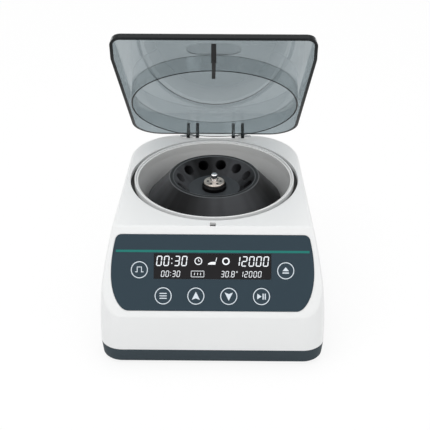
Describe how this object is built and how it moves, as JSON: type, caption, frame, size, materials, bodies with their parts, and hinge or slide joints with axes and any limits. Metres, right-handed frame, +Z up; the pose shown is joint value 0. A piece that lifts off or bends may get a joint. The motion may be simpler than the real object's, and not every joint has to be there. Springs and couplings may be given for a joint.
{
  "type": "benchtop microtube centrifuge",
  "caption": "Compact benchtop centrifuge with smoked lid hinged open over a bowl, fixed-angle microtube rotor, latch tongue and sloping keypad with display.",
  "frame": {"origin": "centre of the bounding box in plan, on the plane that the feet stand on", "axes": "+Z up; -Y is the side of the control face; +X to the right seen from the front; the rotor spins about +Z"},
  "size_m": [0.2238, 0.2628, 0.3109],
  "materials": {
    "housing_white": "fine satin moulded plastic",
    "base_grey": "fine-grained moulded plastic",
    "rubber": "matt rubber",
    "zinc_screw": "zinc-plated screws",
    "bowl_steel": "drawn stainless steel",
    "lid_smoke": "clear smoke-tinted moulding",
    "latch_black": "black nylon",
    "steel": "ground steel",
    "chrome_bolt": "polished",
    "rotor_grey": "dark anodised",
    "hub_black": "black anodised",
    "nut_aluminium": "turned",
    "motor_casting": "cast and turned",
    "winding": "varnished copper and laminated iron",
    "magnet": "sintered ferrite",
    "plate_zinc": "zinc-plated sheet",
    "panel_slate": "printed film on moulded panel",
    "window_dark": "dark clear window",
    "board_green": "solder mask on glass laminate",
    "key_slate": "moulded key cap",
    "inlet_black": "moulded thermoset"
  },
  "bodies": {
    "housing": {"base_tray": "base_grey", "board_screws": "zinc_screw", "case_screws": "zinc_screw", "chamber_bowl": "bowl_steel", "chamber_collar": "housing_white", "control_board": "board_green", "control_panel": "panel_slate", "damper_screws": "zinc_screw", "display_module": "board_green", "display_window": "window_dark", "foot_screws": "zinc_screw", "hinge_pins": "steel", "inlet_pins": "steel", "inlet_screws": "zinc_screw", "key_board": "board_green", "key_board_screws": "zinc_screw", "key_switches": "latch_black", "latch_housing": "latch_black", "latch_screws": "zinc_screw", "latch_solenoid": "plate_zinc", "lid_seal": "rubber", "lid_switch": "latch_black", "mains_inlet": "inlet_black", "motor_bearings": "steel", "motor_dampers": "rubber", "motor_housing": "motor_casting", "motor_mount": "plate_zinc", "motor_stator": "winding", "power_supply": "board_green", "rocker_frame": "inlet_black", "rubber_feet": "rubber", "shaft_seal": "rubber", "upper_case": "housing_white"},
    "lid": {"lid_cover": "lid_smoke", "lid_ring": "lid_smoke", "latch_tongue": "latch_black"},
    "spindle": {"rotor": "rotor_grey", "rotor_hub": "hub_black", "rotor_nut": "nut_aluminium", "rotor_bolt": "chrome_bolt", "motor_shaft": "steel", "motor_magnets": "magnet"},
    "bolt": {"latch_bolt": "steel"},
    "rocker": {"power_rocker": "inlet_black"},
    "key_down": {"key_down": "key_slate"},
    "key_menu": {"key_menu": "key_slate"},
    "key_open": {"key_open": "key_slate"},
    "key_pulse": {"key_pulse": "key_slate"},
    "key_start": {"key_start": "key_slate"},
    "key_up": {"key_up": "key_slate"}
  },
  "joints": [
    {"name": "lid_hinge", "type": "hinge", "parent": "housing", "child": "lid", "pos_m": [0, 0.11413, 0.1315], "axis": [1, 0, 0], "range_deg": [0, 49.3]},
    {"name": "rotor_spin", "type": "hinge", "parent": "housing", "child": "spindle", "pos_m": [0, 0.01862, 0.1], "axis": [0, 0, 1], "continuous": true},
    {"name": "bolt_slide", "type": "slide", "parent": "housing", "child": "bolt", "axis": [-1, 0, 0], "range_m": [0, 0.0054], "stiffness_N_per_m": 120},
    {"name": "rocker_tilt", "type": "hinge", "parent": "housing", "child": "rocker", "pos_m": [0.024, 0.12562, 0.05], "axis": [1, 0, 0], "range_deg": [0, 16]},
    {"name": "key_down_press", "type": "slide", "parent": "housing", "child": "key_down", "axis": [0, 0.8247, -0.5655], "range_m": [0, 0.0005], "stiffness_N_per_m": 2500},
    {"name": "key_menu_press", "type": "slide", "parent": "housing", "child": "key_menu", "axis": [0, 0.8247, -0.5655], "range_m": [0, 0.0005], "stiffness_N_per_m": 2500},
    {"name": "key_open_press", "type": "slide", "parent": "housing", "child": "key_open", "axis": [0, 0.8247, -0.5655], "range_m": [0, 0.0005], "stiffness_N_per_m": 2500},
    {"name": "key_pulse_press", "type": "slide", "parent": "housing", "child": "key_pulse", "axis": [0, 0.8247, -0.5655], "range_m": [0, 0.0005], "stiffness_N_per_m": 2500},
    {"name": "key_start_press", "type": "slide", "parent": "housing", "child": "key_start", "axis": [0, 0.8247, -0.5655], "range_m": [0, 0.0005], "stiffness_N_per_m": 2500},
    {"name": "key_up_press", "type": "slide", "parent": "housing", "child": "key_up", "axis": [0, 0.8247, -0.5655], "range_m": [0, 0.0005], "stiffness_N_per_m": 2500}
  ]
}
